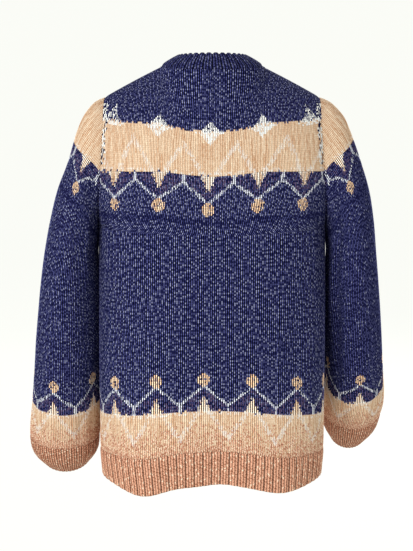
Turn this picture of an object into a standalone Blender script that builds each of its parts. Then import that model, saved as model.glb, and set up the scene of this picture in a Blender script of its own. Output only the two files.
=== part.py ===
"""Crewneck sweater in its worn, hollow shape: knitted walls sewn from nine pieces.

Metres, +Z up. The back faces +Y and the wearer's left is +X. The origin lies between the points
where the shoulder seams meet the neckband.
"""

from collections import namedtuple
from math import cos, pi, radians, sin

import bmesh
import bpy
import numpy as np

# Cloth and seams
WALL = 0.0028
SEAM_GAP = 0.0003
RIB_RELIEF = 0.0014

# Mesh density: columns and rows of each piece
PANEL_COLUMNS = 24
YOKE_ROWS = 5
ARMHOLE_ROWS = 4
BODY_ROWS = 8
FIRST_ROW_BELOW_ARM = 0.010
NECK_COLUMNS = 5
RIB_ROWS = 2
NECK_COLUMN_POWER = 1.25
COURSE_SAMPLES = 241
RING_SAMPLES = 361
SMOOTH_BELOW = radians(50)

# Body
SQUARENESS = 2.4
UNDERARM_DROP = 0.095
ARMHOLE_DEPTH = 0.060
BLADE_SLOPE_DROP = 0.01
RIB_TOP_DROP = 0.431
HEM_DROP = 0.486

# Shoulders and neck
NECK_HALF_WIDTH = 0.080
NECK_BACK_REACH = 0.080
NECK_FRONT_REACH = 0.080
NECK_BACK_DROP = 0.006
NECK_FRONT_DROP = 0.071
SHOULDER_LINE_Y = -0.005
NECK_POINT_Z = 0.001
SHOULDER_TIP = (0.169, -0.008, -0.046)
SHOULDER_CROWN = 0.001
COLLAR_HALF_WIDTH = 0.055
COLLAR_BACK_REACH = 0.067
COLLAR_FRONT_REACH = 0.068
COLLAR_SIDE_Z = 0.016
COLLAR_BACK_RISE = 0.002
COLLAR_FRONT_DROP = 0.063
COLLAR_SWELL = 0.002
QUARTER_ELLIPSE_PULL = 0.66

# Ribs round each band
HEM_RIBS_PER_SIDE = 36
NECK_RIBS = 36
CUFF_RIBS = 20

# How steeply the cloth climbs where it meets the neckline and the shoulder seam
CLIMB_AT_NECK_CENTRE = radians(70)
CLIMB_AT_NECK_POINT = radians(24)
CLIMB_AT_SHOULDER_TIP = radians(8)

Level = namedtuple("Level", "drop z_centre z_side half_width back front")
BODY_LEVELS = (
    Level(0.000, -0.155, -0.148, 0.171, 0.116, 0.106),
    Level(0.095, -0.250, -0.245, 0.178, 0.119, 0.112),
    Level(0.192, -0.347, -0.355, 0.180, 0.117, 0.114),
    Level(0.303, -0.458, -0.478, 0.181, 0.114, 0.116),
    Level(0.368, -0.523, -0.546, 0.181, 0.114, 0.117),
    Level(0.431, -0.586, -0.606, 0.181, 0.114, 0.118),
    Level(0.486, -0.640, -0.648, 0.178, 0.111, 0.115),
)

# Soft waves that grow towards the hem: place, width, how far they stand out and how far they hang
Wave = namedtuple("Wave", "side x width swell drop")
HEM_WAVES = (
    Wave(1, 0.110, 0.046, 0.018, 0.014),
    Wave(1, -0.012, 0.032, -0.009, -0.003),
    Wave(1, -0.112, 0.048, 0.014, 0.010),
    Wave(-1, 0.070, 0.040, 0.010, 0.005),
    Wave(-1, -0.005, 0.035, -0.008, -0.003),
    Wave(-1, -0.085, 0.045, 0.012, 0.006),
)
WAVES_BEGIN_DROP = 0.290
WAVE_EDGE_POWER = 6

# Sleeve rings from the armhole to the cuff: the outer and the inner point seen from behind, the
# middle's place front to back, the half size front to back, and the lean of the arm forwards
Ring = namedtuple("Ring", "outer_x outer_z inner_x inner_z y half_depth lean")
LEFT_SLEEVE = (
    Ring(0.1880, -0.059, 0.1812, -0.2590, -0.001, 0.0620, 0),
    Ring(0.2015, -0.077, 0.1826, -0.2670, -0.001, 0.0640, 0),
    Ring(0.2110, -0.099, 0.1838, -0.2740, 0.000, 0.0655, 0),
    Ring(0.2255, -0.145, 0.1848, -0.2820, 0.000, 0.0670, 0),
    Ring(0.2430, -0.190, 0.1855, -0.2920, 0.001, 0.0680, 0),
    Ring(0.2550, -0.236, 0.1860, -0.3060, 0.002, 0.0680, 1),
    Ring(0.2655, -0.289, 0.1860, -0.3280, 0.003, 0.0670, 3),
    Ring(0.2730, -0.340, 0.1860, -0.3580, 0.002, 0.0650, 6),
    Ring(0.2790, -0.388, 0.1860, -0.3920, -0.003, 0.0630, 9),
    Ring(0.2845, -0.434, 0.1860, -0.4350, -0.010, 0.0610, 10),
    Ring(0.2890, -0.480, 0.1860, -0.4800, -0.018, 0.0600, 10),
    Ring(0.2935, -0.522, 0.1860, -0.5220, -0.025, 0.0590, 10),
    Ring(0.2975, -0.556, 0.1865, -0.5560, -0.031, 0.0580, 11),
    Ring(0.3010, -0.580, 0.1870, -0.5800, -0.037, 0.0550, 14),
    Ring(0.3030, -0.600, 0.1880, -0.6000, -0.043, 0.0510, 18),
)
LEFT_CUFF = (
    Ring(0.3015, -0.626, 0.1910, -0.6260, -0.056, 0.0460, 26),
    Ring(0.2880, -0.650, 0.2060, -0.6500, -0.078, 0.0360, 36),
)
RIGHT_SLEEVE = (
    Ring(0.1900, -0.059, 0.1812, -0.2590, -0.001, 0.0620, 0),
    Ring(0.2060, -0.077, 0.1826, -0.2670, -0.001, 0.0640, 0),
    Ring(0.2160, -0.099, 0.1838, -0.2740, 0.000, 0.0655, 0),
    Ring(0.2330, -0.145, 0.1848, -0.2820, 0.000, 0.0670, 0),
    Ring(0.2470, -0.190, 0.1855, -0.2920, 0.000, 0.0680, 1),
    Ring(0.2550, -0.235, 0.1860, -0.3060, 0.000, 0.0680, 3),
    Ring(0.2605, -0.287, 0.1860, -0.3280, -0.001, 0.0670, 7),
    Ring(0.2660, -0.334, 0.1860, -0.3580, -0.006, 0.0650, 13),
    Ring(0.2715, -0.378, 0.1860, -0.3820, -0.017, 0.0630, 18),
    Ring(0.2765, -0.420, 0.1860, -0.4210, -0.030, 0.0610, 20),
    Ring(0.2810, -0.460, 0.1865, -0.4600, -0.044, 0.0600, 21),
    Ring(0.2855, -0.498, 0.1870, -0.4980, -0.058, 0.0585, 24),
    Ring(0.2895, -0.528, 0.1870, -0.5280, -0.070, 0.0570, 28),
    Ring(0.2910, -0.552, 0.1875, -0.5520, -0.083, 0.0530, 33),
    Ring(0.2895, -0.572, 0.1885, -0.5720, -0.098, 0.0480, 38),
)
RIGHT_CUFF = (
    Ring(0.2860, -0.600, 0.1930, -0.6000, -0.118, 0.0420, 43),
    Ring(0.2710, -0.628, 0.2070, -0.6280, -0.144, 0.0330, 48),
)

Cloth = namedtuple("Cloth", "name colour roughness")
NAVY_KNIT = Cloth("navy knit", (0.040, 0.044, 0.110, 1), 0.85)
PEACH_KNIT = Cloth("peach knit", (0.560, 0.300, 0.190, 1), 0.85)

BACK = 1
FRONT = -1
LEFT = 1
RIGHT = -1


def unit(vectors):
    """Vectors of length one."""
    return vectors / np.linalg.norm(vectors, axis=-1, keepdims=True)


def smooth(knots, values, at):
    """A smooth curve through a table's column, read at one place."""
    slopes = np.gradient(values, knots)
    i = int(np.clip(np.searchsorted(knots, at) - 1, 0, len(knots) - 2))
    step = knots[i + 1] - knots[i]
    t = (at - knots[i]) / step
    return (
        values[i] * (1 - t) ** 2 * (1 + 2 * t)
        + values[i + 1] * t**2 * (3 - 2 * t)
        + slopes[i] * step * t * (1 - t) ** 2
        - slopes[i + 1] * step * t**2 * (1 - t)
    )


def body_level(drop):
    """The body's table of levels, read at a drop below the shoulder blades."""
    columns = np.array(BODY_LEVELS).T
    return Level(drop, *(smooth(columns[0], column, drop) for column in columns[1:]))


def spread(line, beside, shares):
    """Values that run beside a line, read at shares of the line's length."""
    steps = np.linalg.norm(np.diff(line, axis=0), axis=1)
    places = np.concatenate(([0], np.cumsum(steps)))
    return np.stack([np.interp(shares * places[-1], places, column) for column in beside.T], axis=1)


def course(side, drop, shares):
    """One course of a body panel, from the wearer's right side seam to the left."""
    level = body_level(drop)
    depth = level.back if side == BACK else level.front
    armhole = ARMHOLE_DEPTH * max(0, 1 - (drop / UNDERARM_DROP) ** 2) ** 0.5
    reach = (1 - (armhole / depth) ** SQUARENESS) ** (1 / SQUARENESS)
    limit = np.arcsin(reach ** (SQUARENESS / 2))
    turn = np.linspace(-limit, limit, COURSE_SAMPLES)
    x = level.half_width / reach * np.sign(turn) * np.abs(np.sin(turn)) ** (2 / SQUARENESS)
    y = depth * np.abs(np.cos(turn)) ** (2 / SQUARENESS)
    y[[0, -1]] = armhole
    z = level.z_centre + (level.z_side - level.z_centre) * (x / level.half_width) ** 2
    for wave in HEM_WAVES:
        growth = max(0, (drop - WAVES_BEGIN_DROP) / (HEM_DROP - WAVES_BEGIN_DROP)) ** 2
        if wave.side == side:
            shape = growth * np.exp(-(((x - wave.x) / wave.width) ** 2))
            y = y + wave.swell * shape * (1 - (x / level.half_width) ** WAVE_EDGE_POWER)
            z = z - wave.drop * shape
    line = np.stack([x, side * (y + SEAM_GAP / 2), z], axis=1)
    return spread(line, line, (shares + 1) / 2)


def neckline(side, turn):
    """A point of the neckline, turning from the centre to the neck point."""
    reach = NECK_BACK_REACH if side == BACK else NECK_FRONT_REACH
    fall = NECK_BACK_DROP if side == BACK else NECK_FRONT_DROP
    y = SHOULDER_LINE_Y + side * (reach * cos(turn) + SEAM_GAP / 2)
    return np.array([NECK_HALF_WIDTH * sin(turn), y, NECK_POINT_Z - fall * cos(turn)])


def panel_top(side, share):
    """The top of a panel's column and how steeply the cloth climbs there."""
    neck_share = NECK_COLUMNS / (PANEL_COLUMNS / 2)
    along = abs(share)
    if along <= neck_share:
        turn = pi / 2 * (along / neck_share) ** NECK_COLUMN_POWER
        point = neckline(side, turn)
        climb = CLIMB_AT_NECK_POINT + (CLIMB_AT_NECK_CENTRE - CLIMB_AT_NECK_POINT) * cos(turn)
    else:
        blend = (along - neck_share) / (1 - neck_share)
        tip = np.array(SHOULDER_TIP) + (0, side * SEAM_GAP / 2, 0)
        point = neckline(side, pi / 2) * (1 - blend) + tip * blend
        point[2] += SHOULDER_CROWN * sin(pi * blend)
        climb = CLIMB_AT_NECK_POINT + (CLIMB_AT_SHOULDER_TIP - CLIMB_AT_NECK_POINT) * blend
    return point * (np.sign(share) or 1, 1, 1), climb


def yoke_column(side, low, up, share, rises):
    """A column from the shoulder blades over to the neckline or the shoulder seam."""
    high, climb = panel_top(side, share)
    bend = cos(climb)
    chord = np.linalg.norm(high - low)
    leaving = up * abs(high[2] - low[2]) * (1 + QUARTER_ELLIPSE_PULL * bend)
    pull = chord * (1 - bend) + (1 + QUARTER_ELLIPSE_PULL) * abs(high[1] - low[1]) * bend
    arriving = np.array([0, -side * cos(climb), sin(climb)]) * pull
    t = rises[:, None]
    return (
        low * (1 - t) ** 2 * (1 + 2 * t)
        + high * t**2 * (3 - 2 * t)
        + leaving * t * (1 - t) ** 2
        - arriving * t**2 * (1 - t)
    )


def panel(side):
    """A body panel's outer points, rows from the top and columns from right to left."""
    shares = np.linspace(-1, 1, PANEL_COLUMNS + 1)
    blades = course(side, 0, shares)
    climbs = unit(blades - course(side, BLADE_SLOPE_DROP, shares))
    rises = np.linspace(1, 0, YOKE_ROWS + 1)[:-1]
    yoke = [yoke_column(side, *ends, rises) for ends in zip(blades, climbs, shares)]
    armhole = UNDERARM_DROP * np.sin(np.linspace(0, pi / 2, ARMHOLE_ROWS + 1))
    below = np.linspace(UNDERARM_DROP, RIB_TOP_DROP, BODY_ROWS + 1)
    below[0] += FIRST_ROW_BELOW_ARM
    lower = [course(side, drop, shares) for drop in np.concatenate((armhole, below))]
    return np.concatenate((np.stack(yoke, axis=1), lower))


def armhole_loop(back, front, side):
    """The armhole's points, from the shoulder round the back."""
    column = -1 if side == LEFT else 0
    rows = YOKE_ROWS + ARMHOLE_ROWS + 1
    behind = back[:rows, column]
    before = front[:rows, column]
    ends = (behind + before) / 2
    return np.concatenate((ends[:1], behind[1:-1], ends[-1:], before[-2:0:-1]))


def sleeve_ring(ring, side, count):
    """A ring of the sleeve, evenly spaced from its outer point round the back."""
    outer = np.array([side * ring.outer_x, ring.y, ring.outer_z])
    inner = np.array([side * ring.inner_x, ring.y, ring.inner_z])
    lean = radians(ring.lean)
    behind = ring.half_depth * np.array([0, cos(lean), -sin(lean)])
    turn = np.linspace(0, 2 * pi, RING_SAMPLES)[:, None]
    line = (outer + inner) / 2 + (outer - inner) / 2 * np.cos(turn) + behind * np.sin(turn)
    return spread(line, line, np.arange(count) / count)


def normals_of(grid, facing, closed):
    """The cloth's outward directions at a grid of points."""
    wide = np.concatenate((grid[:, -1:], grid, grid[:, :1]), axis=1) if closed else grid
    across = np.gradient(wide, axis=1)
    across = across[:, 1:-1] if closed else across
    along = np.gradient(grid, axis=0)
    return facing * unit(np.cross(across, along))


def over_seam(line, normals, facing, closed):
    """A line moved across a seam, along the cloth, to the next piece's edge."""
    wide = np.concatenate((line[-1:], line, line[:1])) if closed else line
    tangent = np.gradient(wide, axis=0)
    tangent = tangent[1:-1] if closed else tangent
    return line + SEAM_GAP * facing * unit(np.cross(tangent, normals))


def build_wall(cloth, name, outer, normals, closed, relief=0):
    """A closed knitted wall on a grid of points, plain inside and ribbed outside if asked."""
    inner = outer - normals * WALL
    rows, columns = outer.shape[:2]
    ribs = (np.arange(columns) % 2)[None, :, None]
    skin = outer + normals * relief * ribs
    mesh = bmesh.new()
    layers = [[[mesh.verts.new(p) for p in row] for row in grid] for grid in (skin, inner)]
    spans = columns if closed else columns - 1
    for r in range(rows - 1):
        for c in range(spans):
            for layer in layers:
                n = (c + 1) % columns
                mesh.faces.new((layer[r][c], layer[r][n], layer[r + 1][n], layer[r + 1][c]))
    for r in (0, rows - 1):
        for c in range(spans):
            n = (c + 1) % columns
            mesh.faces.new((layers[0][r][c], layers[0][r][n], layers[1][r][n], layers[1][r][c]))
    if not closed:
        for c in (0, columns - 1):
            for r in range(rows - 1):
                down = r + 1
                edge = (layers[0][r][c], layers[0][down][c], layers[1][down][c], layers[1][r][c])
                mesh.faces.new(edge)
    bmesh.ops.recalc_face_normals(mesh, faces=mesh.faces)
    bmesh.ops.triangulate(mesh, faces=mesh.faces)
    data = bpy.data.meshes.new(name)
    mesh.to_mesh(data)
    mesh.free()
    data.shade_smooth()
    data.set_sharp_from_angle(angle=SMOOTH_BELOW)
    data.materials.append(cloth)
    piece = bpy.data.objects.new(name, data)
    bpy.data.collections["crewneck_sweater"].objects.link(piece)


def make_cloth(cloth):
    """A matt knitted material."""
    material = bpy.data.materials.new(cloth.name)
    material.use_nodes = True
    shader = material.node_tree.nodes["Principled BSDF"]
    shader.inputs["Base Color"].default_value = cloth.colour
    shader.inputs["Roughness"].default_value = cloth.roughness
    shader.inputs["Metallic"].default_value = 0
    return material


def sleeve_grid(back, front, table, side):
    """A sleeve's outer points, rings from the armhole down."""
    loop = armhole_loop(back, front, side)
    rings = [sleeve_ring(ring, side, len(loop)) for ring in table]
    return np.array([loop, *rings])


def share_armhole(panel_normals, sleeve_normals, side):
    """Give both panels and the sleeve one direction at each point of the armhole."""
    column = -1 if side == LEFT else 0
    last = YOKE_ROWS + ARMHOLE_ROWS
    back, front = panel_normals
    loop = sleeve_normals[0]
    for row in range(last + 1):
        round_back = row
        round_front = (2 * last - row) % (2 * last)
        for panel_side, place in ((back, round_back), (front, round_front)):
            panel_side[row, column] = unit(panel_side[row, column] + loop[place])
        if row in (0, last):
            back[row, column] = unit(back[row, column] + front[row, column])
            front[row, column] = back[row, column]
        loop[round_back] = back[row, column]
        loop[round_front] = front[row, column]


def share_side_seams(back, front):
    """Give the panels one direction along the shoulder seams and the side seams."""
    neck = PANEL_COLUMNS // 2 - NECK_COLUMNS
    tops = [*range(neck + 1), *range(PANEL_COLUMNS - neck, PANEL_COLUMNS + 1)]
    first = YOKE_ROWS + ARMHOLE_ROWS
    seams = [(0, c) for c in tops]
    seams += [(r, c) for r in range(first, back.shape[0]) for c in (0, -1)]
    for place in seams:
        back[place] = unit(back[place] + front[place])
        front[place] = back[place]


def neck_loop(back, front):
    """Values at the neckline's points, from the back's middle round the wearer's left."""
    middle = PANEL_COLUMNS // 2
    behind = back[0, middle:middle + NECK_COLUMNS + 1]
    before = front[0, middle - NECK_COLUMNS:middle + NECK_COLUMNS + 1][::-1]
    return np.concatenate((behind, before[1:], back[0, middle - NECK_COLUMNS + 1:middle]))


def round_band(line, normals, columns):
    """A closed seam line and its directions, spread evenly over a band's columns."""
    ring = np.concatenate((line, line[:1]))
    shares = np.arange(columns) / columns
    facing = np.concatenate((normals, normals[:1]))
    return spread(ring, ring, shares), unit(spread(ring, facing, shares))


def collar_rows(base):
    """The neckband's rows above its seam line."""
    turn = np.arctan2(base[:, 0] / NECK_HALF_WIDTH, (base[:, 1] - SHOULDER_LINE_Y) / NECK_BACK_REACH)
    reach = np.where(np.cos(turn) > 0, COLLAR_BACK_REACH, COLLAR_FRONT_REACH)
    rise = np.where(np.cos(turn) > 0, COLLAR_BACK_RISE, COLLAR_FRONT_DROP)
    x = COLLAR_HALF_WIDTH * np.sin(turn)
    y = SHOULDER_LINE_Y + reach * np.cos(turn)
    z = COLLAR_SIDE_Z + rise * np.cos(turn)
    top = np.stack([x, y, z], axis=1)
    outwards = unit(np.stack([np.sin(turn), np.cos(turn), 0 * turn], axis=1))
    middle = (base + top) / 2 + outwards * COLLAR_SWELL
    return np.array([top, middle, base])


def make_neckband(cloth, back, front, normals):
    """The ribbed neckband, standing up from the neckline."""
    base, facing = round_band(neck_loop(back, front), neck_loop(*normals), 2 * NECK_RIBS)
    rows = collar_rows(over_seam(base, facing, 1, True))
    directions = normals_of(rows, 1, True)
    directions[-1] = facing
    build_wall(cloth, "neckband", rows, directions, True, RIB_RELIEF)


def make_hem_rib(cloth, name, side, grid, normals):
    """The ribbed hem below one body panel."""
    shares = np.linspace(0, 1, 2 * HEM_RIBS_PER_SIDE + 1)
    base = spread(grid[-1], grid[-1], shares)
    facing = unit(spread(grid[-1], normals[-1], shares))
    rows = [over_seam(base, facing, -side, False)]
    for drop in np.linspace(RIB_TOP_DROP, HEM_DROP, RIB_ROWS + 1)[1:]:
        rows.append(course(side, drop, 2 * shares - 1))
    rows = np.array(rows)
    directions = normals_of(rows, side, False)
    directions[0] = facing
    directions[1:, [0, -1], 1] = 0
    build_wall(cloth, name, rows, unit(directions), False, RIB_RELIEF)


def make_cuff(cloth, name, side, grid, normals, table):
    """The ribbed cuff below one sleeve."""
    columns = 2 * CUFF_RIBS
    base, facing = round_band(grid[-1], normals[-1], columns)
    rows = [over_seam(base, facing, side, True)]
    rows += [sleeve_ring(ring, side, columns) for ring in table]
    rows = np.array(rows)
    directions = normals_of(rows, -side, True)
    directions[0] = facing
    build_wall(cloth, name, rows, directions, True, RIB_RELIEF)


def make_sweater():
    """All nine pieces."""
    navy = make_cloth(NAVY_KNIT)
    peach = make_cloth(PEACH_KNIT)
    back, front = panel(BACK), panel(FRONT)
    panel_normals = normals_of(back, BACK, False), normals_of(front, FRONT, False)
    share_side_seams(*panel_normals)
    arms = (("left", LEFT, LEFT_SLEEVE, LEFT_CUFF), ("right", RIGHT, RIGHT_SLEEVE, RIGHT_CUFF))
    for name, side, sleeve_table, cuff_table in arms:
        sleeve = sleeve_grid(back, front, sleeve_table, side)
        sleeve_normals = normals_of(sleeve, -side, True)
        share_armhole(panel_normals, sleeve_normals, side)
        sleeve[0] = over_seam(sleeve[0], sleeve_normals[0], side, True)
        build_wall(navy, f"{name}_sleeve", sleeve, sleeve_normals, True)
        make_cuff(peach, f"{name}_cuff", side, sleeve, sleeve_normals, cuff_table)
    build_wall(navy, "back_panel", back, panel_normals[0], False)
    build_wall(navy, "front_panel", front, panel_normals[1], False)
    make_neckband(navy, back, front, panel_normals)
    make_hem_rib(peach, "back_hem_rib", BACK, back, panel_normals[0])
    make_hem_rib(peach, "front_hem_rib", FRONT, front, panel_normals[1])


def clear_scene():
    """An empty scene with a collection for the garment."""
    for thing in list(bpy.data.objects):
        bpy.data.objects.remove(thing)
    sweater = bpy.data.collections.new("crewneck_sweater")
    bpy.context.scene.collection.children.link(sweater)


clear_scene()
make_sweater()
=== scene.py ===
"""Crewneck sweater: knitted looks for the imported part, laid out as an add-on and run as a script.

Metres, +Z up. The back faces +Y and the wearer's left is +X. The origin lies between the points
where the shoulder seams meet the neckband. Knitted rows are counted downwards from the row where
the peach of the yoke changes to navy.
"""

from collections import namedtuple
from math import cos, pi, radians, sin

import bpy
import numpy as np
from bpy.props import FloatProperty, FloatVectorProperty, PointerProperty
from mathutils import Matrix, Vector


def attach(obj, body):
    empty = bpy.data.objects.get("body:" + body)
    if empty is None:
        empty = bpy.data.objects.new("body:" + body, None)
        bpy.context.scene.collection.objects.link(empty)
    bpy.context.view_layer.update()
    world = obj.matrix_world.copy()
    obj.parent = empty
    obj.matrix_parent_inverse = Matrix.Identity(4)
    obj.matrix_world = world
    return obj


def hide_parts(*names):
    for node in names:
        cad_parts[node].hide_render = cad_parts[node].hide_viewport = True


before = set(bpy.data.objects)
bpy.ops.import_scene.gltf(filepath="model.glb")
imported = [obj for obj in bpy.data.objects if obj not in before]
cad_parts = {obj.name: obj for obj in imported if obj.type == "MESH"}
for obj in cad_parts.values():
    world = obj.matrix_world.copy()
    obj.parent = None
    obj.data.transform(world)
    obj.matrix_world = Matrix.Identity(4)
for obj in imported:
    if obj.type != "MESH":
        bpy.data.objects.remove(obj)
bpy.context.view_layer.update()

bl_info = {
    "name": "Crewneck Sweater",
    "version": (1, 0, 0),
    "blender": (4, 5, 0),
    "location": "3D View > Sidebar > Sweater",
    "description": "Knits a worn crewneck sweater around its packed part",
    "category": "Object",
}

# The same form as the part's source
SQUARENESS = 2.4
UNDERARM_DROP = 0.095
ARMHOLE_DEPTH = 0.060
BLADE_SLOPE_DROP = 0.01
RIB_TOP_DROP = 0.431
HEM_DROP = 0.486
COURSE_SAMPLES = 721
RING_SAMPLES = 721

NECK_SHARE = 5 / 12
NECK_COLUMN_POWER = 1.25
NECK_HALF_WIDTH = 0.080
NECK_BACK_REACH = 0.080
NECK_FRONT_REACH = 0.080
NECK_BACK_DROP = 0.006
NECK_FRONT_DROP = 0.071
SHOULDER_LINE_Y = -0.005
NECK_POINT_Z = 0.001
SHOULDER_TIP = (0.169, -0.008, -0.046)
SHOULDER_CROWN = 0.001
COLLAR_HALF_WIDTH = 0.055
COLLAR_BACK_REACH = 0.067
COLLAR_FRONT_REACH = 0.068
COLLAR_SIDE_Z = 0.016
COLLAR_BACK_RISE = 0.002
COLLAR_FRONT_DROP = 0.063
COLLAR_SWELL = 0.002
QUARTER_ELLIPSE_PULL = 0.66
CLIMB_AT_NECK_CENTRE = radians(70)
CLIMB_AT_NECK_POINT = radians(24)
CLIMB_AT_SHOULDER_TIP = radians(8)

# Ribs: how many, their grooves as a share of a rib, how far from a seam they reach full height, how
# much further they push up the neckband's top edge, the share of a seam's dip where bands join, and
# how high a cuff's ribs are beside the others
HEM_RIBS_PER_SIDE = 36
NECK_RIBS = 36
CUFF_RIBS = 40
RIB_GROOVE_SHARE = 0.17
NECK_RIBS_FROM = 0.004
BAND_RIBS_FROM = 0.006
NECK_SCALLOP = 1.6
RIB_SEAM_SHARE = 0.3
CUFF_RIB_SHARE = 0.5

# How far the hem's ribs lean sideways, and where, in shares of its half width
RIB_LEAN = 0.030
RIB_LEAN_PLACE = 0.55
RIB_LEAN_REACH = 0.30

# The body's courses at drops below the shoulder blades: height in the middle and at the sides,
# half width, and reach to the back and to the front
Level = namedtuple("Level", "drop z_centre z_side half_width back front")
BODY_LEVELS = (
    Level(0.000, -0.155, -0.148, 0.171, 0.116, 0.106),
    Level(0.095, -0.250, -0.245, 0.178, 0.119, 0.112),
    Level(0.192, -0.347, -0.355, 0.180, 0.117, 0.114),
    Level(0.303, -0.458, -0.478, 0.181, 0.114, 0.116),
    Level(0.368, -0.523, -0.546, 0.181, 0.114, 0.117),
    Level(0.431, -0.586, -0.606, 0.181, 0.114, 0.118),
    Level(0.486, -0.640, -0.648, 0.178, 0.111, 0.115),
)

# Soft waves that grow towards the hem: place, width, how far they stand out and how far they hang.
# The fourth is in the scene alone and lets the middle of the back hem hang lower.
Wave = namedtuple("Wave", "side x width swell drop")
HEM_WAVES = (
    Wave(1, 0.110, 0.046, 0.018, 0.014),
    Wave(1, -0.012, 0.032, -0.009, -0.003),
    Wave(1, -0.112, 0.048, 0.014, 0.010),
    Wave(1, -0.002, 0.062, 0, 0.0045),
    Wave(-1, 0.070, 0.040, 0.010, 0.005),
    Wave(-1, -0.005, 0.035, -0.008, -0.003),
    Wave(-1, -0.085, 0.045, 0.012, 0.006),
)
WAVES_BEGIN_DROP = 0.290

# How sharply the waves and the ribs' lean end at the side seams
WAVE_EDGE_POWER = 6

# Sleeve rings from the armhole to the cuff: the outer and the inner point seen from behind, the
# middle's place front to back, the half size front to back, and the lean of the arm forwards
Ring = namedtuple("Ring", "outer_x outer_z inner_x inner_z y half_depth lean")
LEFT_SLEEVE = (
    Ring(0.1880, -0.059, 0.1812, -0.2590, -0.001, 0.0620, 0),
    Ring(0.2015, -0.077, 0.1826, -0.2670, -0.001, 0.0640, 0),
    Ring(0.2110, -0.099, 0.1838, -0.2740, 0.000, 0.0655, 0),
    Ring(0.2255, -0.145, 0.1848, -0.2820, 0.000, 0.0670, 0),
    Ring(0.2430, -0.190, 0.1855, -0.2920, 0.001, 0.0680, 0),
    Ring(0.2550, -0.236, 0.1860, -0.3060, 0.002, 0.0680, 1),
    Ring(0.2655, -0.289, 0.1860, -0.3280, 0.003, 0.0670, 3),
    Ring(0.2730, -0.340, 0.1860, -0.3580, 0.002, 0.0650, 6),
    Ring(0.2790, -0.388, 0.1860, -0.3920, -0.003, 0.0630, 9),
    Ring(0.2845, -0.434, 0.1860, -0.4350, -0.010, 0.0610, 10),
    Ring(0.2890, -0.480, 0.1860, -0.4800, -0.018, 0.0600, 10),
    Ring(0.2935, -0.522, 0.1860, -0.5220, -0.025, 0.0590, 10),
    Ring(0.2975, -0.556, 0.1865, -0.5560, -0.031, 0.0580, 11),
    Ring(0.3010, -0.580, 0.1870, -0.5800, -0.037, 0.0550, 14),
    Ring(0.3030, -0.600, 0.1880, -0.6000, -0.043, 0.0510, 18),
)
LEFT_CUFF = (
    Ring(0.3015, -0.626, 0.1910, -0.6260, -0.056, 0.0460, 26),
    Ring(0.2880, -0.650, 0.2060, -0.6500, -0.078, 0.0360, 36),
)
RIGHT_SLEEVE = (
    Ring(0.1900, -0.059, 0.1812, -0.2590, -0.001, 0.0620, 0),
    Ring(0.2060, -0.077, 0.1826, -0.2670, -0.001, 0.0640, 0),
    Ring(0.2160, -0.099, 0.1838, -0.2740, 0.000, 0.0655, 0),
    Ring(0.2330, -0.145, 0.1848, -0.2820, 0.000, 0.0670, 0),
    Ring(0.2470, -0.190, 0.1855, -0.2920, 0.000, 0.0680, 1),
    Ring(0.2550, -0.235, 0.1860, -0.3060, 0.000, 0.0680, 3),
    Ring(0.2605, -0.287, 0.1860, -0.3280, -0.001, 0.0670, 7),
    Ring(0.2660, -0.334, 0.1860, -0.3580, -0.006, 0.0650, 13),
    Ring(0.2715, -0.378, 0.1860, -0.3820, -0.017, 0.0630, 18),
    Ring(0.2765, -0.420, 0.1860, -0.4210, -0.030, 0.0610, 20),
    Ring(0.2810, -0.460, 0.1865, -0.4600, -0.044, 0.0600, 21),
    Ring(0.2855, -0.498, 0.1870, -0.4980, -0.058, 0.0585, 24),
    Ring(0.2895, -0.528, 0.1870, -0.5280, -0.070, 0.0570, 28),
    Ring(0.2910, -0.552, 0.1875, -0.5520, -0.083, 0.0530, 33),
    Ring(0.2895, -0.572, 0.1885, -0.5720, -0.098, 0.0480, 38),
)
RIGHT_CUFF = (
    Ring(0.2860, -0.600, 0.1930, -0.6000, -0.118, 0.0420, 43),
    Ring(0.2710, -0.628, 0.2070, -0.6280, -0.144, 0.0330, 48),
)

BACK = 1
FRONT = -1
LEFT = 1
RIGHT = -1

# The knitting: stitches across a panel and round a sleeve, about how wide they are where creases
# cross them, and how far a stitch's legs lean
PANEL_STITCHES = 150
SLEEVE_STITCHES = 120
PANEL_STITCH_WIDTH = 0.0034
SLEEVE_STITCH_WIDTH = 0.0030
STITCH_LEAN = 0.5

# The colour pattern repeats every 24 stitches. Peach dots stand at its multiples.
REPEAT = 24
YOKE_PEACH_ROWS = 24
HEM_CHANGE_ROW = 138
SLEEVE_ROWS = 180
SLEEVE_FIRST_STITCH = 1

# Down a sleeve: where the peach of its cap changes to navy, how far that swings from the outer line
# to the underarm, and the rows between which the knitting evens out, the second from the cuff
CAP_CHANGE_MIDDLE = 0.019
CAP_CHANGE_SWING = 0.068
PLAIN_FROM_ROW = 30
PLAIN_TO_ROW = 45

# Where the yoke's peach starts and ends below the shoulder blades, at shares of a panel's half
# width, and how deep the row below them lies once it runs level
ACROSS_SHARES = (0, 0.2, 0.4, 0.8, 1)
YOKE_CHANGE = (0.0082, 0.0055, 0.0020, 0.0068, 0.0105)
YOKE_TOP = (-0.0565, -0.0600, -0.0690, -0.0690, -0.0720)
YOKE_CHANGE_LEVEL = 0.008
LEVEL_FROM_DROP = 0.08
LEVEL_BY_DROP = 0.28

# The pattern's place across the panels: how far it drifts to the wearer's left and how wide one
# stitch of it is, at rows down the panel
DRIFT_ROWS = (-24, 17, 120)
DRIFT = (0.0025, 0.0070, 0.0126)
GAUGE_ROWS = (-24, 0)
GAUGE = (0.0034, 0.0031)

# The yarn: its bump, roughness and gloss, the shares of its relief that legs and rows make, how
# narrow the painted light on a stitch column's crest is, and the painted shade on it between rows
YARN_DEPTH = 0.0007
YARN_BUMP = 0.8
YARN_ROUGHNESS = 0.88
YARN_GLOSS = 0.03
LEG_RELIEF = 0.2
ROW_RELIEF = 0.4
CREST_NARROWNESS = 3
CREST_ROW_SHADE = 0.5
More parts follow.
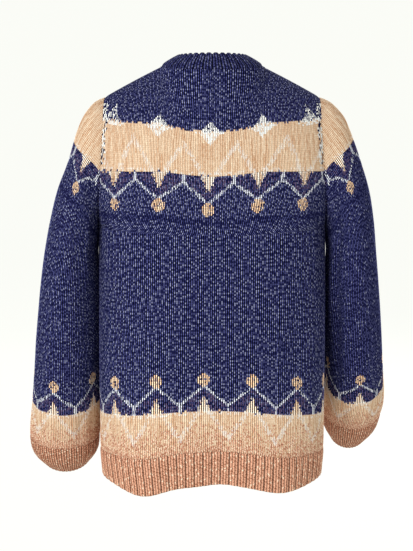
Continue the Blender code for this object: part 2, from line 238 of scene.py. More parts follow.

# Painted shade and light on the stitch columns: how bright the yarn is painted in the grooves
# between the crests, how much painted light brightens the crests, and the share of that light which
# motifs in the navy keep
PEACH_GROOVE_SHADE = 0.50
PEACH_CREST_LIGHT = 0.63
NAVY_GROOVE_SHADE = 0.02
NAVY_CREST_LIGHT = 2.62
MOTIF_CREST_LIGHT_SHARE = 0.68

# The marl's twist, the blocks of stitches among which the navy's flecks are spread, and the streaks
# of the peach
STRANDS_PER_ROW = 1.5
TWIST_PER_LEG = 0.7549
TWIST_PER_TURN = 0.5698
TWIST_UNEVENNESS = 0.25
FLECK_STITCHES = 2
FLECK_ROWS = 2
STREAK_ROWS = 9
STREAK_SHARE = 0.55

# Shares of dark and pale strands in the navy, what the places near the pattern add to them, what
# the painted shade of a crease below the dots adds, and the share of mauve between the zigzag and
# the peach
Shares = namedtuple("Shares", "dark light")
PANEL_NAVY = Shares(0.36, 0.20)
NEAR_PATTERN = Shares(0, 0.05)
ABOVE_ZIGZAG = Shares(0.10, -0.10)
BELOW_DOTS_CREASE_SHADE = Shares(0.25, -0.14)
MAUVE_SHARE = 0.26

# Places in the pattern are stitches aside from a dot's column and rows into the navy from the
# peach. The change of colour lies half a row before row 0, and both its edges are ragged. A zigzag
# shows on the wispy share of its stitches.
CHANGE_ROW = -0.5
RAGGED_ROWS = 1.2
TOP_RAGGED_ROWS = 1.9
NEAR_PATTERN_ROWS = 24
ABOVE_ZIGZAG_ROWS = 13.6
# Row of the painted shade along the crease below the dots
BELOW_DOTS_ROW = 26
LINE_HALF_HEIGHT = 1.1
WISPY = 0.62

# Zigzags: the row at a dot's column, rows a stitch and half the height of the line; how strongly
# they cover what is below; and the white strands along the peach's edge, likewise
Zigzag = namedtuple("Zigzag", "row slope half_height")
GREY_ZIGZAG = Zigzag(14.8, 0.92, 1.05)
FAINT_ZIGZAG = Zigzag(4, 1.75, 2.2)
GREY_COVER = 0.9
FAINT_COVER = 0.48
EDGE_WISPS = 0.3
EDGE_COVER = 0.6

# Short grey spikes between the dots, the dots with their gaps, and the peach spikes that point at
# them, with their white strands
SHORT_SPIKE_ASIDE = 11.1
SHORT_SPIKE_ROW = 2
SHORT_SPIKE_HALF_HEIGHT = 2.6
SHORT_SPIKE_WISPS = 0.85
DOT_ROW = 18.3
DOT_HALF_WIDTH = 3.2
DOT_HALF_HEIGHT = 4.2
DOT_STRAIGHT = 1.5
DOT_GAPS = 0.26
SPIKE_HALF_WIDTH = 4.2
SPIKE_SLOPE = 0.40
SPIKE_RAGGED = 1.8
SPIKE_ROWS = 8.5
SPIKE_WHITE_SHARE = 0.4
SPIKE_WHITE_COVER = 0.6

# The sleeve's underarm, where no motif is knitted
UNDERARM_COLUMN = 60
UNDERARM_HALF_WIDTH = 22
UNDERARM_ROWS = 60

# White stars on the yoke's upper edge: half width, rows up and down, how hollow their sides are,
# their size and gaps, the row they stop at, and what the ones nearest the armholes add
STAR_HALF_WIDTH = 6.4
STAR_REACH = 7
STAR_POWER = 0.75
STAR_SIZE = 1.03
STAR_GAPS = 0.34
STAR_FOOT = -7
OUTER_STAR_COLUMN = 40
OUTER_STAR_REACH = 4.5
OUTER_STAR_GAPS = 0.16
OUTER_STAR_FOOT = 5

# Specks beside the armhole seams: how many stitches they reach in and how unevenly, their rows,
# and the shares that are dark and white
SEAM_STITCHES = 5
SEAM_UNEVENNESS = 2
SEAM_ROW = -19
SEAM_HALF_HEIGHT = 16
SEAM_DARK_SHARE = 0.24
SEAM_WHITE_SHARE = 0.40

# The fade from the hem's peach to the rib's darker yarn: painted shade that darkens the cloth
# towards the hem
FADE_AFTER_ROWS = 6
FADE_RAGGED_ROWS = 4
FADE_STRAND_SHARE = 0.18
PANEL_FADING_ROWS = 23
SLEEVE_FADING_ROWS = 20

# A ribbed band: shares of dark and pale strands, the painted shade in the grooves between its ribs,
# its stitches to a rib, and the painted shade between the crests of its stitches and the painted
# light on them
Band = namedtuple("Band", "share_dark share_light shade stitches groove crest")
NECK_BAND = Band(0.36, 0.12, 0.3, 3, 0.28, 1.58)
HEM_BAND = Band(0.24, 0.05, 0.45, 3, 0.46, 0.84)
# The cuffs are darker than the hem: partly a darker yarn, partly painted shade where they turn
# under
CUFF_BAND = Band(0.5, 0.06, 0.7, 2, 0.40, 0.80)
GROOVE_SHARPNESS = 5

# Seeds of the chance patterns
SEED_FLECK_START = 1
SEED_FLECK = 2
SEED_MARL = 4
SEED_STREAK = 5
SEED_PEACH_FLECK = 6
SEED_CHANGE = 7
SEED_WISPS = 8
SEED_MAUVE = 9
SEED_FADE = 10
SEED_YOKE_TOP = 11
SEED_SPIKE = 12
SEED_FADE_START = 13
SEED_SEAM_REACH = 14
SEED_SEAM_SPECKS = 15

# Mesh rows and columns
COLUMNS_PER_STITCH = 2
YOKE_MESH_ROWS = 66
ARMHOLE_MESH_ROWS = 54
BODY_MESH_ROWS = 130
SLEEVE_MESH_ROWS = 192
COLUMNS_PER_RIB = 8
COLUMNS_PER_CUFF_RIB = 4
HEM_MESH_ROWS = 24
CUFF_MESH_ROWS = 24
NECK_MESH_ROWS = 10

# One arm: its side, its rings, how many stitches its column turns by the cuff, the sleeve's row
# where the navy changes to the peach of the hem, and the share of pale flecks in its navy. Fewer
# flecks than on the panels darken the sleeves; on the right sleeve, turned from the light, the
# fewest flecks are painted shade
Arm = namedtuple("Arm", "name side sleeve cuff turn hem_row share_light")
ARMS = (
    Arm("left", LEFT, LEFT_SLEEVE, LEFT_CUFF, 2.7, 154, 0.15),
    Arm("right", RIGHT, RIGHT_SLEEVE, RIGHT_CUFF, 6.5, 152, 0.06),
)

# Soft creases from one place on a piece to another, in stitches and rows, with their half width
# and depth; a negative depth is a ridge. Each fades towards its ends.
CREASE_FADE = 0.12
Crease = namedtuple("Crease", "u v u_end v_end width depth")
CREASES = {
    "back_panel": (
        Crease(144, 76, 86, 73, 0.007, 0.0016),
        Crease(96, 74, 43, 72, 0.006, 0.0010),
        Crease(133, 101, 62, 96, 0.009, 0.0016),
        Crease(64, 98, 24, 94, 0.008, 0.0012),
        Crease(131, 88, 92, 84, 0.011, -0.0012),
        Crease(142, 8, 136, 58, 0.012, 0.0030),
        Crease(10, 10, 17, 66, 0.012, 0.0030),
        Crease(129, 60, 116, 120, 0.016, 0.0016),
        Crease(30, 70, 39, 124, 0.016, 0.0018),
        Crease(51, 112, 75, 118, 0.010, 0.0010),
    ),
    "front_panel": (
        Crease(141, 6, 133, 52, 0.012, 0.0032),
        Crease(9, 8, 18, 60, 0.012, 0.0030),
        Crease(129, 50, 90, 62, 0.010, 0.0018),
        Crease(26, 58, 62, 66, 0.011, 0.0016),
        Crease(107, 92, 60, 98, 0.009, 0.0014),
        Crease(36, 84, 43, 122, 0.015, 0.0018),
        Crease(118, 74, 111, 126, 0.016, 0.0020),
    ),
    "left_sleeve": (
        Crease(60, 36, 64, 150, 0.034, -0.0095),
        Crease(66, 142, 58, 178, 0.024, -0.0040),
        Crease(41, 14, 43, 68, 0.009, -0.0030),
        Crease(52, 12, 54, 124, 0.010, 0.0008),
        Crease(36, 92, 14, 104, 0.012, 0.0022),
        Crease(30, 116, 46, 106, 0.010, 0.0020),
        Crease(30, 28, 36, 62, 0.011, 0.0018),
        Crease(17.5, 148, 17.5, 178, 0.006, 0.0032),
        Crease(27, 160, 26, 179, 0.006, 0.0018),
        Crease(39, 154, 38, 178, 0.008, 0.0022),
        Crease(8, 152, 9, 178, 0.007, 0.0022),
        Crease(84, 20, 92, 70, 0.012, 0.0026),
        Crease(104, 66, 74, 84, 0.011, 0.0026),
        Crease(76, 96, 108, 104, 0.010, 0.0020),
        Crease(96, 154, 97, 178, 0.007, 0.0026),
        Crease(76, 158, 75, 179, 0.008, 0.0020),
    ),
    "right_sleeve": (
        Crease(60, 36, 66, 140, 0.034, -0.0078),
        Crease(38, 14, 43, 64, 0.008, 0.0036),
        Crease(43, 58, 37, 134, 0.010, 0.0060),
        Crease(56, 18, 50, 140, 0.010, 0.0040),
        Crease(47, 30, 47, 104, 0.008, -0.0026),
        Crease(30, 66, 44, 80, 0.010, 0.0026),
        Crease(20, 84, 40, 98, 0.011, 0.0024),
        Crease(14, 100, 34, 116, 0.010, 0.0020),
        Crease(22, 150, 22, 178, 0.007, 0.0030),
        Crease(32, 156, 31, 179, 0.007, 0.0026),
        Crease(12, 152, 13, 177, 0.007, 0.0018),
        Crease(82, 22, 90, 66, 0.012, 0.0028),
        Crease(100, 74, 72, 88, 0.011, 0.0030),
        Crease(74, 98, 104, 108, 0.010, 0.0024),
        Crease(90, 152, 92, 178, 0.007, 0.0026),
    ),
}

# Flat cuts, across and down
Cut = namedtuple("Cut", "width length area")

# The stage: what the camera and the lights are aimed at, the lights, and the round backdrop, which
# bends up from a flat floor
VIEW_MIDDLE = (0.0088, 0, -0.329)
LIGHT_AIM = (0, 0, -0.33)
SENSOR_HEIGHT = 36
Lamp = namedtuple("Lamp", "name place size power")
LAMPS = (
    Lamp("key", (1.7, 2.5, 0.6), 1.6, 66),
    Lamp("fill", (-1.2, 2.8, 0.6), 2.4, 6),
    Lamp("front", (-0.6, -2.8, 0.8), 2.4, 80),
    Lamp("top", (0.0, 0.0, 2.4), 2.4, 14),
)
BOWL_RADIUS = 4.2
BOWL_FLAT = 1.5
BOWL_BEND = 1.0
BOWL_HEIGHT = 4.0
BOWL_BEND_STEPS = 12
BOWL_SIDES = 96
PAPER_COLOUR = (0.030, 0.030, 0.029)
PAPER_GLOW = (0.918, 0.928, 0.882)
PAPER_ROUGHNESS = 0.9


def length(name, description, default):
    """A length that the sidebar shows."""
    return FloatProperty(name=name, description=description, default=default, unit="LENGTH")


def yarn_colour(name, description, default):
    """A colour that the sidebar shows."""
    settings = {"name": name, "description": description, "default": default}
    return FloatVectorProperty(subtype="COLOR", **settings)


class KnitSettings(bpy.types.PropertyGroup):
    """Sizes of the knitting."""

    wall: length("Cloth thickness", "Thickness of the knitted wall", 0.0028)
    row: length("Row height", "Height of one knitted row", 0.0026)
    band_row: length("Row height of bands", "Height of one row of the ribbed bands", 0.0033)
    wale: length("Wale relief", "How far each column of stitches stands out", 0.0005)
    rib: length("Rib relief", "How far the ribs of the bands stand out", 0.0014)
    seam: length("Seam dip", "How deep the cloth dips along a seam", 0.0012)
    seam_reach: length("Seam reach", "How far from a seam the dip reaches", 0.005)


class YarnColours(bpy.types.PropertyGroup):
    """Colours of the yarns."""

    navy_dark: yarn_colour("Navy, dark", "Darkest strand of the navy marl", (0.008, 0.009, 0.046))
    navy: yarn_colour("Navy", "Main strand of the navy marl", (0.034, 0.037, 0.110))
    navy_light: yarn_colour("Navy, light", "Flecks of the navy marl", (0.116, 0.123, 0.212))
    mauve: yarn_colour("Mauve", "Strand between the zigzag and the peach", (0.085, 0.060, 0.120))
    grey: yarn_colour("Grey", "Pale grey of the zigzags", (0.720, 0.740, 0.820))
    peach_dark: yarn_colour("Peach, dark", "Darker strand of the peach", (0.600, 0.310, 0.160))
    peach_light: yarn_colour("Peach, light", "Pale strand of the peach", (1.000, 0.800, 0.580))
    white: yarn_colour("White", "White of the small motifs", (0.960, 0.960, 0.930))
    rib_dark: yarn_colour("Rib, dark", "Darker strand of hem and cuffs", (0.390, 0.160, 0.092))
    rib: yarn_colour("Rib", "Main strand of hem and cuffs", (0.700, 0.365, 0.240))
    rib_light: yarn_colour("Rib, light", "Pale strand of hem and cuffs", (1.000, 0.760, 0.560))


class StageSettings(bpy.types.PropertyGroup):
    """Camera, lights and backdrop."""

    distance: length("Camera distance", "From the camera to the middle of the view", 1.9)
    tilt: FloatProperty(
        name="Camera height angle",
        description="How far above level the camera looks from",
        default=radians(9),
        subtype="ANGLE",
    )
    lens: FloatProperty(
        name="Focal length",
        description="For a sensor 36 mm high",
        default=77.55,
        unit="CAMERA",
    )
    floor: length("Floor height", "Height of the floor, well below the sweater", -1.15)
    soft_light: FloatProperty(
        name="Surrounding light",
        description="Strength of the light from all round",
        default=0.34,
    )


def unit(vectors):
    """Vectors of length one."""
    return vectors / np.linalg.norm(vectors, axis=-1, keepdims=True)


def smooth(knots, values, at):
    """A smooth curve through a table's rows, read at one or several places."""
    slopes = np.gradient(values, knots, axis=0)
    i = np.clip(np.searchsorted(knots, at) - 1, 0, len(knots) - 2)
    step = knots[i + 1] - knots[i]
    t = (at - knots[i]) / step
    if np.ndim(at):
        over = (-1,) + (1,) * (values.ndim - 1)
        t, step = t.reshape(over), step.reshape(over)
    return (
        values[i] * (1 - t) ** 2 * (1 + 2 * t)
        + values[i + 1] * t**2 * (3 - 2 * t)
        + slopes[i] * step * t * (1 - t) ** 2
        - slopes[i + 1] * step * t**2 * (1 - t)
    )


def ease(values, start, end):
    """A soft step from 0 at start to 1 at end."""
    t = np.clip((values - start) / (end - start), 0, 1)
    return t * t * (3 - 2 * t)


def body_level(drop):
    """The body's table of levels, read at a drop below the shoulder blades."""
    columns = np.array(BODY_LEVELS).T
    return Level(drop, *(smooth(columns[0], column, drop) for column in columns[1:]))


def spread(line, beside, shares):
    """Values that run beside a line, read at shares of the line's length."""
    steps = np.linalg.norm(np.diff(line, axis=0), axis=1)
    places = np.concatenate(([0], np.cumsum(steps)))
    return np.stack([np.interp(shares * places[-1], places, column) for column in beside.T], axis=1)


def course(side, drop, shares):
    """One course of a body panel, from the wearer's right side seam to the left."""
    level = body_level(drop)
    depth = level.back if side == BACK else level.front
    armhole = ARMHOLE_DEPTH * max(0, 1 - (drop / UNDERARM_DROP) ** 2) ** 0.5
    reach = (1 - (armhole / depth) ** SQUARENESS) ** (1 / SQUARENESS)
    limit = np.arcsin(reach ** (SQUARENESS / 2))
    turn = np.linspace(-limit, limit, COURSE_SAMPLES)
    x = level.half_width / reach * np.sign(turn) * np.abs(np.sin(turn)) ** (2 / SQUARENESS)
    y = depth * np.abs(np.cos(turn)) ** (2 / SQUARENESS)
    y[[0, -1]] = armhole
    z = level.z_centre + (level.z_side - level.z_centre) * (x / level.half_width) ** 2
    growth = max(0, (drop - WAVES_BEGIN_DROP) / (HEM_DROP - WAVES_BEGIN_DROP)) ** 2
    for wave in HEM_WAVES:
        if wave.side == side:
            shape = growth * np.exp(-(((x - wave.x) / wave.width) ** 2))
            y = y + wave.swell * shape * (1 - (x / level.half_width) ** WAVE_EDGE_POWER)
            z = z - wave.drop * shape
    line = np.stack([x, side * y, z], axis=1)
    return spread(line, line, (shares + 1) / 2)


def neckline(side, turn):
    """A point of the neckline, turning from the centre to the neck point."""
    reach = NECK_BACK_REACH if side == BACK else NECK_FRONT_REACH
    fall = NECK_BACK_DROP if side == BACK else NECK_FRONT_DROP
    y = SHOULDER_LINE_Y + side * reach * cos(turn)
    return np.array([NECK_HALF_WIDTH * sin(turn), y, NECK_POINT_Z - fall * cos(turn)])


def panel_top(side, share):
    """The top of a panel's column and how steeply the cloth climbs there."""
    along = abs(share)
    if along <= NECK_SHARE:
        turn = pi / 2 * (along / NECK_SHARE) ** NECK_COLUMN_POWER
        point = neckline(side, turn)
        climb = CLIMB_AT_NECK_POINT + (CLIMB_AT_NECK_CENTRE - CLIMB_AT_NECK_POINT) * cos(turn)
    else:
        blend = (along - NECK_SHARE) / (1 - NECK_SHARE)
        point = neckline(side, pi / 2) * (1 - blend) + np.array(SHOULDER_TIP) * blend
        point[2] += SHOULDER_CROWN * sin(pi * blend)
        climb = CLIMB_AT_NECK_POINT + (CLIMB_AT_SHOULDER_TIP - CLIMB_AT_NECK_POINT) * blend
    return point * (np.sign(share) or 1, 1, 1), climb


def yoke_column(side, low, up, share, rises):
    """A column from the shoulder blades over to the neckline or the shoulder seam."""
    high, climb = panel_top(side, share)
    bend = cos(climb)
    chord = np.linalg.norm(high - low)
    leaving = up * abs(high[2] - low[2]) * (1 + QUARTER_ELLIPSE_PULL * bend)
    pull = chord * (1 - bend) + (1 + QUARTER_ELLIPSE_PULL) * abs(high[1] - low[1]) * bend
    arriving = np.array([0, -side * cos(climb), sin(climb)]) * pull
    t = rises[:, None]
    return (
        low * (1 - t) ** 2 * (1 + 2 * t)
        + high * t**2 * (3 - 2 * t)
        + leaving * t * (1 - t) ** 2
        - arriving * t**2 * (1 - t)
    )


def panel_shares():
    """Places across a panel, with a column at each neck point."""
    shares = np.linspace(-1, 1, PANEL_STITCHES * COLUMNS_PER_STITCH + 1)
    for side in (RIGHT, LEFT):
        shares[np.abs(shares - side * NECK_SHARE).argmin()] = side * NECK_SHARE
    return shares


def panel_drops():
    """Drops of a panel's mesh rows from the shoulder blades to the rib."""
    armhole = UNDERARM_DROP * np.sin(np.linspace(0, pi / 2, ARMHOLE_MESH_ROWS + 1))
    below = np.linspace(UNDERARM_DROP, RIB_TOP_DROP, BODY_MESH_ROWS + 1)[1:]
    return np.concatenate((armhole, below))


def panel(side):
    """A body panel's outer points, rows from the top and columns from right to left."""
    shares = panel_shares()
    blades = course(side, 0, shares)
    climbs = unit(blades - course(side, BLADE_SLOPE_DROP, shares))
    rises = np.linspace(1, 0, YOKE_MESH_ROWS + 1)[:-1]
    yoke = [yoke_column(side, *ends, rises) for ends in zip(blades, climbs, shares)]
    lower = [course(side, drop, shares) for drop in panel_drops()]
    return np.concatenate((np.stack(yoke, axis=1), lower))


def down_columns(grid):
    """How far each point lies down its column, along the cloth."""
    steps = np.linalg.norm(np.diff(grid, axis=0), axis=2)
    return np.concatenate((np.zeros((1, grid.shape[1])), np.cumsum(steps, axis=0)))


def along_rows(grid):
    """How far each point lies along its row, from the first column."""
    return down_columns(grid.transpose(1, 0, 2)).T


def panel_rows(grid, row):
    """The knitted row at each point of a panel, counted down from the yoke's change to navy."""
    arc = down_columns(grid)
    drop = arc - arc[YOKE_MESH_ROWS]
    drop[YOKE_MESH_ROWS:] = panel_drops()[:, None]
    across = np.abs(np.linspace(-1, 1, grid.shape[1]))
    change = np.interp(across, ACROSS_SHARES, YOKE_CHANGE)
    peach_row = (change - np.interp(across, ACROSS_SHARES, YOKE_TOP)) / YOKE_PEACH_ROWS
    levelled = ease(drop, LEVEL_FROM_DROP, LEVEL_BY_DROP)
    start = change * (1 - levelled) + YOKE_CHANGE_LEVEL * levelled
    return np.where(drop < change, (drop - change) / peach_row, (drop - start) / row)


def pattern_columns(grid, rows):
    """The colour pattern's column at each point of a panel, with the middle dot at 0."""
    arc = along_rows(grid)
    middle = arc[:, grid.shape[1] // 2, None]
    drift = np.interp(rows, DRIFT_ROWS, DRIFT)
    return (arc - middle - drift) / np.interp(rows, GAUGE_ROWS, GAUGE)


def armhole_loop(back, front, side):
    """The armhole's points, from the shoulder round the back."""
    column = -1 if side == LEFT else 0
    rows = YOKE_MESH_ROWS + ARMHOLE_MESH_ROWS + 1
    behind = back[:rows, column]
    before = front[:rows, column]
    return np.concatenate((behind, before[-2:0:-1]))


def sleeve_ring(ring, side, shares):
    """A ring of the sleeve, read at shares of its length from its outer point round the back."""
    outer = np.array([side * ring.outer_x, ring.y, ring.outer_z])
    inner = np.array([side * ring.inner_x, ring.y, ring.inner_z])
    lean = radians(ring.lean)
    behind = ring.half_depth * np.array([0, cos(lean), -sin(lean)])
    turn = np.linspace(0, 2 * pi, RING_SAMPLES)[:, None]
    line = (outer + inner) / 2 + (outer - inner) / 2 * np.cos(turn) + behind * np.sin(turn)
    return spread(line, line, shares % 1)


def between_rings(rings, first, last, rows):
    """Even mesh rows through an arm's rings, from one of them to another."""
    steps = np.linalg.norm(np.diff(rings, axis=0), axis=2).mean(axis=1)
    knots = np.concatenate(([0], np.cumsum(steps)))
    return smooth(knots, rings, np.linspace(knots[first], knots[last], rows + 1))


def sleeve_grid(arm, back, front):
    """A sleeve's outer points, rows from the armhole down and columns from its outer line."""
    loop = armhole_loop(back, front, arm.side)
    shares = np.arange(len(loop)) / len(loop)
    turn = arm.turn / SLEEVE_STITCHES
    count = len(arm.sleeve)
    rings = [
        sleeve_ring(ring, arm.side, shares + turn * (i + 1) / count)
        for i, ring in enumerate(arm.sleeve)
    ]
    return between_rings(np.array([loop, *rings]), 0, count, SLEEVE_MESH_ROWS)


def cuff_grid(arm):
    """A cuff's outer points, rows from the sleeve's end."""
    columns = CUFF_RIBS * COLUMNS_PER_CUFF_RIB
    shares = np.arange(columns) / columns + arm.turn / SLEEVE_STITCHES
    rings = [sleeve_ring(ring, arm.side, shares) for ring in arm.sleeve[-2:] + arm.cuff]
    return between_rings(np.array(rings), 1, len(rings) - 1, CUFF_MESH_ROWS)


def sleeve_rows(grid, row):
    """The knitted row at each point of a sleeve."""
    arc = down_columns(grid)
    shares = np.arange(grid.shape[1]) / grid.shape[1]
    change = CAP_CHANGE_MIDDLE + CAP_CHANGE_SWING * np.cos(2 * pi * shares)
    rows = (arc - change) / row
    plain = ease(rows, PLAIN_FROM_ROW, rows[-1] - PLAIN_TO_ROW)
    return rows + (SLEEVE_ROWS - rows[-1]) * plain


def normals_of(grid, facing, closed):
    """The cloth's outward directions at a grid of points."""
    wide = np.concatenate((grid[:, -1:], grid, grid[:, :1]), axis=1) if closed else grid
    across = np.gradient(wide, axis=1)
    across = across[:, 1:-1] if closed else across
    along = np.gradient(grid, axis=0)
    return facing * unit(np.cross(across, along))


def share_armhole(panel_normals, sleeve_normals, side):
    """Give both panels and the sleeve one direction at each point of the armhole."""
    column = -1 if side == LEFT else 0
    last = YOKE_MESH_ROWS + ARMHOLE_MESH_ROWS
    back, front = panel_normals
    loop = sleeve_normals[0]
    for row in range(last + 1):
        round_back = row
        round_front = (2 * last - row) % (2 * last)
        for panel_side, place in ((back, round_back), (front, round_front)):
            panel_side[row, column] = unit(panel_side[row, column] + loop[place])
        if row in (0, last):
            back[row, column] = unit(back[row, column] + front[row, column])
            front[row, column] = back[row, column]
        loop[round_back] = back[row, column]
        loop[round_front] = front[row, column]


def share_side_seams(back, front):
    """Give the panels one direction along the shoulder seams and the side seams."""
    shares = panel_shares()
    first = YOKE_MESH_ROWS + ARMHOLE_MESH_ROWS
    seams = [(0, c) for c in np.flatnonzero(np.abs(shares) >= NECK_SHARE)]
    seams += [(r, c) for r in range(first, back.shape[0]) for c in (0, -1)]
    for place in seams:
        back[place] = unit(back[place] + front[place])
        front[place] = back[place]


def neck_loop(back, front):
    """Values at the neckline's points, from the back's middle round the wearer's left."""
    inside = np.flatnonzero(np.abs(panel_shares()) <= NECK_SHARE)
    middle = len(inside) // 2
    behind, before = back[0, inside], front[0, inside]
    return np.concatenate((behind[middle:], before[-2:0:-1], behind[:middle]))


def collar_grid(base):
    """The neckband's outer points, rows from its top edge down to the neckline."""
    outwards = (base[:, 1] - SHOULDER_LINE_Y) / NECK_BACK_REACH
    turn = np.arctan2(base[:, 0] / NECK_HALF_WIDTH, outwards)
    reach = np.where(np.cos(turn) > 0, COLLAR_BACK_REACH, COLLAR_FRONT_REACH)
    rise = np.where(np.cos(turn) > 0, COLLAR_BACK_RISE, COLLAR_FRONT_DROP)
    x = COLLAR_HALF_WIDTH * np.sin(turn)
    y = SHOULDER_LINE_Y + reach * np.cos(turn)
    z = COLLAR_SIDE_Z + rise * np.cos(turn)
    top = np.stack([x, y, z], axis=1)
    away = unit(np.stack([np.sin(turn), np.cos(turn), 0 * turn], axis=1))
    t = np.linspace(1, 0, NECK_MESH_ROWS + 1)[:, None, None]
    return base * (1 - t) + top * t + away * COLLAR_SWELL * 4 * t * (1 - t)


def crease_field(name, u, v, row, width, closed):
    """How far creases push the cloth at each point, outwards."""
    field = np.zeros_like(v)
    for crease in CREASES.get(name, ()):
        du = u - crease.u
        if closed:
            du = (du + SLEEVE_STITCHES / 2) % SLEEVE_STITCHES - SLEEVE_STITCHES / 2
        along = np.array([(crease.u_end - crease.u) * width, (crease.v_end - crease.v) * row])
        x, y = du * width, (v - crease.v) * row
        t = (x * along[0] + y * along[1]) / (along @ along)
        inside = np.clip(t, 0, 1)
        away = np.hypot(x - inside * along[0], y - inside * along[1]) / crease.width
        strength = np.sin(pi * (CREASE_FADE + (1 - 2 * CREASE_FADE) * inside))
        field -= crease.depth * strength * np.exp(-(away**2))
    return field


def rim_loops(rows, columns, closed):
    """The grid's border as loops of row and column, each closed by its first place."""
    if closed:
        top = [(0, c) for c in range(columns + 1)]
        foot = [(rows - 1, c) for c in range(columns, -1, -1)]
        return [top, foot]
    top = [(0, c) for c in range(columns)]
    left = [(r, columns - 1) for r in range(1, rows)]
    foot = [(rows - 1, c) for c in range(columns - 2, -1, -1)]
    right = [(r, 0) for r in range(rows - 2, -1, -1)]
    return [top + left + foot + right]


def grid_faces(rows, columns, closed, first):
    """A grid's faces as places in its corner table and as vertices."""
    spans = columns if closed else columns - 1
    r, c = np.meshgrid(np.arange(rows - 1), np.arange(spans), indexing="ij")
    corners = np.stack([(r, c), (r, c + 1), (r + 1, c + 1), (r + 1, c)], axis=0)
    corners = corners.transpose(2, 3, 0, 1).reshape(-1, 4, 2)
    vertices = first + corners[..., 0] * columns + corners[..., 1] % columns
    return corners, vertices


def rim_points(loop, skin, inner, free_rows):
    """Points round a wall's edge, midway through the cloth and rounded out on a free row."""
    rows, columns = skin.shape[:2]
    wall = np.linalg.norm(skin[0, 0] - inner[0, 0])
    points = []
    for r, c in loop[:-1]:
        outer = skin[r, c % columns]
        point = (outer + inner[r, c % columns]) / 2
        if r in free_rows:
            neighbour = skin[1 if r == 0 else rows - 2, c % columns]
            point = point + unit(outer - neighbour) * wall / 2
        points.append(point)
    return np.array(points)


def rim_faces(loop, columns, lining_columns, lining_first, rim_first):
    """Faces from the outer points over the rim to the lining, and each corner's row and column."""
    total = len(loop) - 1
    outer = [r * columns + c % columns for r, c in loop]
    lined = [lining_first + r // 2 * lining_columns + c // 2 % lining_columns for r, c in loop]
    middle = [rim_first + i % total for i in range(total + 1)]
    faces, places = [], []
    for i in range(total):
        faces.append([outer[i + 1], outer[i], middle[i], middle[i + 1]])
        places += [loop[i + 1], loop[i], loop[i], loop[i + 1]]
    for i in range(0, total, 2):
        faces.append([middle[i + 2], middle[i + 1], middle[i], lined[i], lined[i + 2]])
        places += [loop[i + 2], loop[i + 1], loop[i], loop[i], loop[i + 2]]
    return faces, places


def knit_mesh(name, skin, inner, normals, maps, closed, free_rows):
    """A closed knitted wall: its outer points, a plain inside at half the density, and its rims."""
    uv = np.concatenate(list(maps.values()), axis=2)
    rows, columns = skin.shape[:2]
    lining = inner[::2, ::2]
    lining_first = rows * columns
    corners, outside = grid_faces(rows, columns, closed, 0)
    lining_corners, inside = grid_faces(*lining.shape[:2], closed, lining_first)
    points = [skin.reshape(-1, 3), lining.reshape(-1, 3)]
    faces = [*outside.tolist(), *inside[:, ::-1].tolist()]
    places = [corners.reshape(-1, 2), lining_corners[:, ::-1].reshape(-1, 2) * 2]
    for loop in rim_loops(rows, columns, closed):
        rim_first = sum(len(part) for part in points)
        points.append(rim_points(loop, skin, inner, free_rows))
        rim, at = rim_faces(loop, columns, lining.shape[1], lining_first, rim_first)
        faces += rim
        places.append(np.array(at))
    mesh = bpy.data.meshes.new(name)
    mesh.from_pydata(np.concatenate(points).tolist(), [], faces)
    texture = uv[tuple(np.concatenate(places).T)]
    for i, label in enumerate(maps):
        layer = mesh.uv_layers.new(name=label)
        layer.uv.foreach_set("vector", texture[:, 2 * i : 2 * i + 2].ravel())
    middle = len(outside) // 2
    outwards = Vector(normals.reshape(-1, 3)[outside[middle][0]])
    if mesh.polygons[middle].normal.dot(outwards) < 0:
        mesh.flip_normals()
    mesh.shade_smooth()
    return mesh


def add_piece(name, mesh, material):
    """Put a finished piece in place of its node."""
    mesh.materials.append(material)
    piece = bpy.data.objects.new(f"knit_{name}", mesh)
    bpy.context.scene.collection.objects.link(piece)
    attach(piece, "root")
    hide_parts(name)


def knit_piece(name, grid, normals, relief, maps, closed, material, free_rows=(), scallop=0):
    """Knit a piece that stands out from its grid by a relief, and put it in place of its node."""
    skin = grid + normals * relief[..., None]
    skin[0] += scallop
    inner = grid - normals * bpy.context.scene.sweater_knit.wall
    mesh = knit_mesh(name, skin, inner, normals, maps, closed, free_rows)
    add_piece(name, mesh, material)


def wales(columns, relief):
    """The ridges of the stitch columns."""
    return relief * (np.arange(columns) % COLUMNS_PER_STITCH)


def seam_dip(distances, knit, share=1):
    """How deep the cloth dips at distances from a seam, or from a softer one that dips a share."""
    return share * knit.seam * np.exp(-((distances / knit.seam_reach) ** 2))


def rib_profile(columns, per_rib, relief):
    """Broad ribs with narrow grooves, across a band."""
    place = np.arange(columns) % per_rib / per_rib
    groove = np.minimum(place, 1 - place)
    return relief * (1 - np.exp(-((groove / RIB_GROOVE_SHARE) ** 2)))


def stitch_map(u, v, closed):
    """Stitch and row at each place of a grid, with the first column again where it closes."""
    if closed:
        v = np.concatenate((v, v[:, :1]), axis=1)
    return np.stack([np.broadcast_to(u, v.shape), v], axis=2)


def first_in(operation):
    """A method that adds a Math node with its own socket first."""

    def method(self, *others):
        sockets = dict(enumerate((self, *others)))
        return self.look.add("ShaderNodeMath", {"operation": operation}, sockets)

    return method


def second_in(operation):
    """A method for the reflected form, which adds a Math node with its own socket second."""

    def method(self, other):
        return self.look.add("ShaderNodeMath", {"operation": operation}, {0: other, 1: self})

    return method


